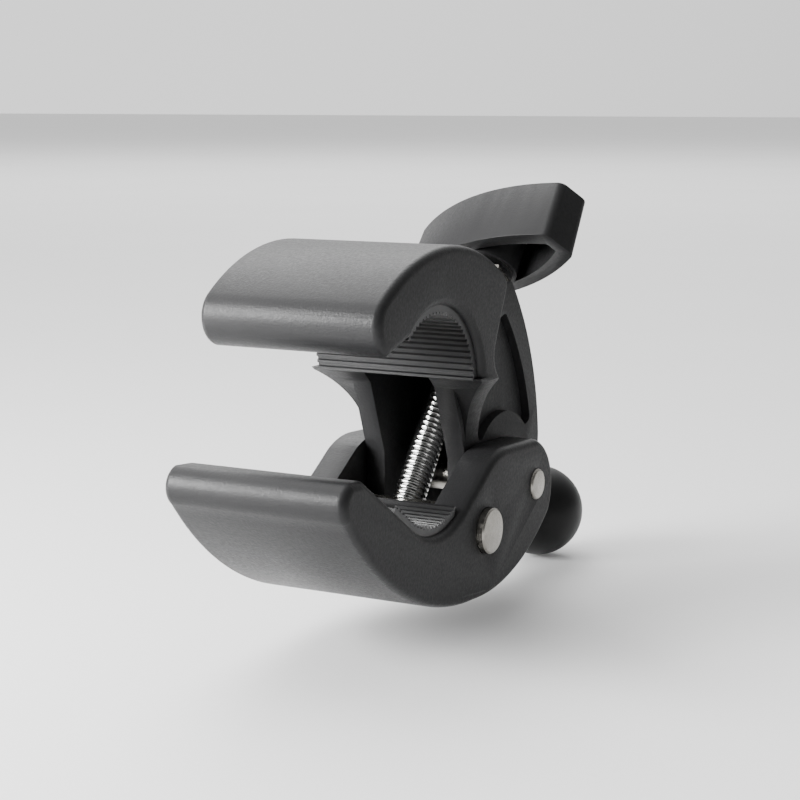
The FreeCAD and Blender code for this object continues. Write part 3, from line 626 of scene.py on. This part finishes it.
# ------------------------------------------------------------------ meshes
def mesh_of(name: str, points: Sequence, edges: Sequence = (), faces: Sequence = ()) -> bpy.types.Mesh:
    """Return a mesh from plain lists.

    Args:
        name: Name of the mesh.
        points: Corner positions.
        edges: Pairs of corners.
        faces: Loops of corners.

    Returns:
        The mesh.
    """
    mesh = bpy.data.meshes.new(name)
    mesh.from_pydata(points, edges, faces)
    mesh.update()
    return mesh


def swept(name: str, section: list, half: float) -> bpy.types.Mesh:
    """Return a solid of one section across the clamp.

    Args:
        name: Name of the mesh.
        section: Closed loop of (y, z) points.
        half: Half the solid's length along X.

    Returns:
        The solid.
    """
    count = len(section)
    points = [(side * half, y, z) for side in (-1, 1) for y, z in section]
    faces = [list(range(count)), list(range(2 * count - 1, count - 1, -1))]
    faces += [[i, i + count, (i + 1) % count + count, (i + 1) % count] for i in range(count)]
    mesh = mesh_of(name, points, faces=faces)
    turn_outwards(mesh)
    return mesh


def turn_outwards(mesh: bpy.types.Mesh) -> None:
    """Point every face's normal outwards.

    Args:
        mesh: Closed mesh.
    """
    work = bmesh.new()
    work.from_mesh(mesh)
    bmesh.ops.recalc_face_normals(work, faces=work.faces)
    work.to_mesh(mesh)
    work.free()


def merged(name: str, meshes: list) -> bpy.types.Mesh:
    """Return one mesh that holds several.

    Args:
        name: Name of the result.
        meshes: Meshes with one shared material.

    Returns:
        The mesh.
    """
    work = bmesh.new()
    for mesh in meshes:
        work.from_mesh(mesh)
    result = bpy.data.meshes.new(name)
    work.to_mesh(result)
    work.free()
    return result


class Shop:
    def __init__(self, finishes: dict[str, bpy.types.Material]) -> None:
        """Hold the finishes.

        Args:
            finishes: Material for each slot of the record.
        """
        self.finishes = finishes
        record = frame["record"]
        self.slots = {part["node"]: part["material_slot"] for part in record["subparts"]}
        self.bodies = {node: body for body, nodes in record["behaviour"]["bodies"].items() for node in nodes}

    def dress(self, node: str) -> None:
        """Give a frame node its finish.

        Args:
            node: Name of the node.
        """
        thing = frame["nodes"][node]
        finish = self.finishes[self.slots[node]]
        for slot in thing.material_slots:
            slot.material = finish
        if not thing.material_slots:
            thing.data.materials.append(finish)
        LOG.info("%s: %s", node, self.slots[node])

    def stand_for(self, node: str, mesh: bpy.types.Mesh, sharp: float | None = 35.0) -> bpy.types.Object:
        """Show a detailed mesh in a frame node's place.

        Args:
            node: Name of the node.
            mesh: The detailed mesh, in the row frame.
            sharp: Angle in degrees below which edges are smoothed, or None to keep the normals.

        Returns:
            The new piece.
        """
        mesh.materials.clear()
        mesh.materials.append(self.finishes[self.slots[node]])
        if sharp is not None:
            mesh.shade_smooth()
            mesh.set_sharp_from_angle(angle=math.radians(sharp))
        piece = bpy.data.objects.new(f"{node}_detail", mesh)
        bpy.context.scene.collection.objects.link(piece)
        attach(piece, self.bodies[node])
        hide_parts(node)
        LOG.info("%s stands for %s", piece.name, node)
        return piece

    def soften(self, node: str, width: float, segments: int = 2, angle: float = 30.0) -> bpy.types.Object:
        """Show a copy of a frame node with its sharp edges rounded.

        Args:
            node: Name of the node.
            width: Width of the rounding in millimetres.
            segments: Facets across the rounding.
            angle: Smallest angle in degrees that is rounded.

        Returns:
            The new piece.
        """
        mesh = frame["nodes"][node].data.copy()
        work = bmesh.new()
        work.from_mesh(mesh)
        bmesh.ops.remove_doubles(work, verts=work.verts, dist=SAME_POINT)
        bmesh.ops.dissolve_limit(work, angle_limit=SAME_PLANE, verts=work.verts, edges=work.edges)
        for face in work.faces:
            face.smooth = True
        for edge in work.edges:
            edge.smooth = True
        work.to_mesh(mesh)
        work.free()
        carrier = bpy.data.objects.new(f"{node}_carrier", mesh)
        bpy.context.scene.collection.objects.link(carrier)
        bevel = carrier.modifiers.new("edges", "BEVEL")
        bevel.width = width * MM
        bevel.segments = segments
        bevel.limit_method = "ANGLE"
        bevel.angle_limit = math.radians(angle)
        bevel.harden_normals = True
        bevel.miter_outer = "MITER_ARC"
        bpy.context.view_layer.update()
        graph = bpy.context.evaluated_depsgraph_get()
        made = bpy.data.meshes.new_from_object(carrier.evaluated_get(graph), depsgraph=graph)
        carrier.modifiers.remove(bevel)
        bpy.data.objects.remove(carrier)
        return self.stand_for(node, made, sharp=None)


# ------------------------------------------------------------------ sub-assemblies
@dataclass
class Pads:
    """Ribbed rubber strips in both jaws, in millimetres, with places about the hinge."""

    grip_y: float = -52.4
    grip_z: float = 28.9
    upper_crest: float = 19.35
    upper_start: float = 6.0
    upper_end: float = 129.5
    cup_y: float = -52.3
    cup_z: float = 20.3
    cup_crest: float = 20.55
    ramp_angle: float = 33.5
    ramp_length: float = 9.0
    rear_y: float = -42.4
    half: float = 21.2
    thick: float = 3.4
    rib_height: float = 0.55
    rib_pitch: float = 1.60
    rib_base: float = 1.15
    rib_crest: float = 0.62
    rib_sunk: float = 0.02

    def upper_path(self, radius: float, steps: int = 48) -> list:
        """Return points along the upper pad at a radius.

        Args:
            radius: Distance from the grip's centre.
            steps: Number of spans.

        Returns:
            The points, as (y, z).
        """
        points = []
        for i in range(steps + 1):
            angle = math.radians(self.upper_start + (self.upper_end - self.upper_start) * i / steps)
            points.append((self.grip_y + radius * math.cos(angle), self.grip_z + radius * math.sin(angle)))
        return points

    def lower_path(self, radius: float, steps: int = 40) -> list:
        """Return points along the lower pad at a radius, from the front ramp to the rear edge.

        Args:
            radius: Distance from the cup's centre.
            steps: Number of spans in the cup.

        Returns:
            The points, as (y, z).
        """
        slope = math.radians(self.ramp_angle)
        start = -math.pi / 2 - slope
        end = -math.acos((self.rear_y - self.cup_y) / radius)
        foot = (self.cup_y + radius * math.cos(start), self.cup_z + radius * math.sin(start))
        run = self.ramp_length
        points = [(foot[0] - run * math.cos(slope), foot[1] + run * math.sin(slope))]
        for i in range(steps + 1):
            angle = start + (end - start) * i / steps
            points.append((self.cup_y + radius * math.cos(angle), self.cup_z + radius * math.sin(angle)))
        return points

    @staticmethod
    def placed(points: list) -> list:
        """Return (y, z) points about the hinge as metres in the row frame.

        Args:
            points: Points in millimetres.

        Returns:
            The points in metres.
        """
        return [(y * MM + HINGE.y, z * MM + HINGE.z) for y, z in points]

    def strip(self, name: str, path: Callable[[float], list], crest: float, tree: ShapeTree,
              material: bpy.types.Material) -> bpy.types.Mesh:
        """Return a backing strip with ribs along it.

        Args:
            name: Name of the mesh.
            path: Function from a radius to points.
            crest: Radius of the ribs' crests.
            tree: Tree that lays the ribs.
            material: Material for the ribs.

        Returns:
            The strip.
        """
        root = crest + self.rib_height
        face = self.placed(path(root))
        back = self.placed(path(crest + self.thick))
        backing = swept(f"{name}_backing", face + back[::-1], self.half * MM)
        line = [(0.0, y, z) for y, z in self.placed(path(root + self.rib_sunk))]
        route = mesh_of(f"{name}_route", line, edges=[(i, i + 1) for i in range(len(line) - 1)])
        values = {"Pitch": self.rib_pitch * MM, "Length": 2 * self.half * MM, "Base": self.rib_base * MM,
                  "Crest": self.rib_crest * MM, "Height": (self.rib_height + self.rib_sunk) * MM,
                  "Material": material}
        return merged(name, [backing, tree.grow(f"{name}_ribs", route, values)])

    def build(self, shop: Shop) -> None:
        """Make both pads.

        Args:
            shop: Where pieces are made.
        """
        tree = ribs_tree()
        material = shop.finishes["jaw_rubber"]
        upper = self.strip("upper_ribbed", self.upper_path, self.upper_crest, tree, material)
        lower = self.strip("lower_ribbed", self.lower_path, self.cup_crest, tree, material)
        shop.stand_for("upper_pad", upper)
        shop.stand_for("lower_pad", lower)


@dataclass
class Screw:
    """Threaded rod with a rolled thread, in millimetres, from below to above the rocker's pivot."""

    pitch: float = 1.4111
    outer: float = 3.97
    depth: float = 0.62
    foot: float = 1.38
    crest: float = 0.52
    root_fill: float = 0.15
    below: float = 76.1
    above: float = 8.3
    steps: int = 40
    sides: int = 48
    smooth_below: float = 75.0

    def build(self, shop: Shop) -> None:
        """Wind the thread and set it on its axis.

        Args:
            shop: Where pieces are made.
        """
        start = SEAT - ROD_AXIS * self.below * MM
        core = self.outer - self.depth
        root = core + self.depth * self.root_fill
        values = {"Turns": (self.below + self.above) / self.pitch, "Pitch": self.pitch * MM,
                  "Core Radius": core * MM, "Root Radius": root * MM, "Foot Width": self.foot * MM,
                  "Crest Width": self.crest * MM, "Height": self.depth * MM, "Steps": self.steps,
                  "Sides": self.sides, "Tilt": (-ROD_TILT, 0.0, 0.0), "Place": tuple(start),
                  "Material": shop.finishes["rod_zinc"]}
        mesh = thread_tree().grow("rolled_thread", mesh_of("seed", [(0.0, 0.0, 0.0)]), values)
        shop.stand_for("threaded_rod", mesh, sharp=self.smooth_below)


@dataclass
class Mouldings:
    """Rounded edges of the moulded and turned pieces, widths in millimetres."""

    body_edge: float = 0.55
    jaw_edge: float = 0.45
    knob_edge: float = 1.10
    cap_edge: float = 0.25
    pin_edge: float = 0.12
    post_edge: float = 0.35
    cover_edge: float = 0.30

    def build(self, shop: Shop) -> None:
        """Make the rounded copies.

        Args:
            shop: Where pieces are made.
        """
        shop.soften("main_body", self.body_edge, segments=3)
        shop.soften("lower_jaw", self.jaw_edge, segments=3)
        shop.soften("knob_shell", self.knob_edge, segments=3)
        shop.soften("knob_cap", self.cap_edge)
        shop.soften("hinge_pin", self.pin_edge)
        shop.soften("barrel_nut", self.pin_edge)
        shop.soften("ball_post", self.post_edge)
        shop.soften("ball_cover", self.cover_edge)


class Clamp:
    """The whole clamp: its finishes and its pieces."""

    def __init__(self) -> None:
        """Make a finish for each slot of the record."""
        finishes = [
            Moulding("body_composite"),
            Moulding("jaw_composite"),
            Moulding("knob_composite", roughness=0.44, grain_depth=0.030, streaks=0.15),
            Moulding("cap_plastic", roughness=0.40, streaks=0.1),
            Moulding("slip_plastic", roughness=0.44, streaks=0.1),
            Moulding("bush_nylon", roughness=0.42, streaks=0.1),
            Moulding("post_alloy", roughness=0.40, streaks=0.1, grain_depth=0.008),
            Rubber("jaw_rubber"),
            Rubber("ball_rubber", dark=(0.0030, 0.0030, 0.0032), light=(0.0060, 0.0060, 0.0063), index=1.32),
            TurnedSteel("pin_steel", centre_mm=tuple(HINGE / MM)),
            TurnedSteel("nut_steel", centre_mm=tuple(NUT / MM)),
            TurnedSteel("rocker_steel", centre_mm=tuple(SEAT / MM)),
            PlatedSteel("liner_steel"),
            PlatedSteel("insert_steel", dark=(0.10, 0.10, 0.10), light=(0.24, 0.24, 0.235), roughness=0.30),
            PlatedSteel("washer_steel", dark=(0.10, 0.10, 0.10), light=(0.22, 0.22, 0.22), roughness=0.30),
            PlatedSteel("rod_zinc", dark=(0.55, 0.55, 0.53), light=(0.86, 0.86, 0.85), roughness=0.16),
            PlatedSteel("screw_steel", dark=(0.03, 0.03, 0.032), light=(0.07, 0.07, 0.072), roughness=0.32),
        ]
        self.shop = Shop({finish.name: finish.build() for finish in finishes})

    def build(self) -> None:
        """Dress every node and make the detailed pieces."""
        for node in sorted(frame["nodes"]):
            self.shop.dress(node)
        Mouldings().build(self.shop)
        Pads().build(self.shop)
        Screw().build(self.shop)


# ------------------------------------------------------------------ studio
@dataclass(frozen=True)
class Lamp:
    """Soft rectangular lamp, in metres and watts."""

    name: str
    at: Triple
    aim: Triple
    size: tuple[float, float]
    watts: float

    def hang(self) -> None:
        """Hang the lamp."""
        data = bpy.data.lights.new(self.name, "AREA")
        data.shape = "RECTANGLE"
        data.size, data.size_y = self.size
        data.energy = self.watts
        lamp = bpy.data.objects.new(self.name, data)
        lamp.location = self.at
        lamp.rotation_euler = (Vector(self.aim) - Vector(self.at)).to_track_quat("-Z", "Y").to_euler()
        bpy.context.scene.collection.objects.link(lamp)


@dataclass
class Room:
    """Pale floor, soft lights and the camera, sizes in metres."""

    floor_z: float = -0.0132
    floor_half: float = 12.0
    sky_low: float = 0.28
    sky_high: float = 1.35
    sky_starts: float = -0.3
    sky_full: float = 0.8
    bright_side: Triple = (-0.85, 0.25, 0.45)
    clamp_middle: Triple = (0.0, -0.075, 0.04)
    camera_at: Triple = (0.2102, -0.4729, 0.1156)
    right: Triple = (0.88045, 0.47414, 0.0)
    forward: Triple = (-0.46799, 0.86902, -0.16062)
    sensor_mm: float = 36.0
    lens_mm: float = 83.48

    def floor(self) -> None:
        """Lay the floor."""
        half = self.floor_half
        corners = [(x * half, y * half, self.floor_z) for x, y in ((-1, -1), (1, -1), (1, 1), (-1, 1))]
        mesh = mesh_of("floor", corners, faces=[(0, 1, 2, 3)])
        mesh.materials.append(Studio().build())
        floor = bpy.data.objects.new("floor", mesh)
        bpy.context.scene.collection.objects.link(floor)

    def lamps(self) -> None:
        """Hang the key lamp close to the front left, one above, and one over the floor behind."""
        Lamp("key", (-0.34, -0.46, 0.20), self.clamp_middle, (0.36, 0.26), 11.0).hang()
        Lamp("top", (-0.45, -0.10, 0.95), self.clamp_middle, (0.9, 0.7), 6.0).hang()
        Lamp("back", (-1.30, 1.90, 2.00), (-1.1, 1.7, 0.0), (2.0, 2.0), 60.0).hang()

    def sky(self) -> None:
        """Surround the room with soft light that is strongest on its bright side."""
        world = bpy.data.worlds.new("soft_room")
        bpy.context.scene.world = world
        world.use_nodes = True
        world.node_tree.nodes.clear()
        graph = Graph(world.node_tree)
        way = graph.add(Kind.COORDINATES).outputs["Generated"]
        bright = Vector(self.bright_side).normalized()
        towards = graph.add(Kind.VECTOR_MATH, {0: way, 1: bright}, operation="DOT_PRODUCT")
        level = graph.field(towards.outputs["Value"]).step(self.sky_starts, self.sky_full, self.sky_low,
                                                           self.sky_high)
        glow = graph.add(Kind.BACKGROUND, {"Color": (1.0, 1.0, 1.0, 1.0), "Strength": level})
        graph.add(Kind.WORLD_OUTPUT, {"Surface": glow.outputs[0]})

    def camera(self) -> None:
        """Set the camera."""
        data = bpy.data.cameras.new("camera")
        data.sensor_width = self.sensor_mm
        data.lens = self.lens_mm
        data.clip_start = 0.01
        data.clip_end = 100.0
        camera = bpy.data.objects.new("camera", data)
        right = Vector(self.right).normalized()
        forward = Vector(self.forward).normalized()
        turn = Matrix((right, right.cross(forward), -forward)).transposed().to_4x4()
        camera.matrix_world = Matrix.Translation(self.camera_at) @ turn
        bpy.context.scene.collection.objects.link(camera)
        bpy.context.scene.camera = camera

    def build(self) -> None:
        """Build the room."""
        self.floor()
        self.sky()
        self.lamps()
        self.camera()
        LOG.info("room built")


def write_bounds() -> None:
    """Update the view layer."""
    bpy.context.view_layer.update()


def main() -> None:
    """Build the scene."""
    logging.basicConfig(level=logging.INFO)
    write_bounds()
    Clamp().build()
    Room().build()
    write_bounds()


if __name__ == "__main__":
    main()
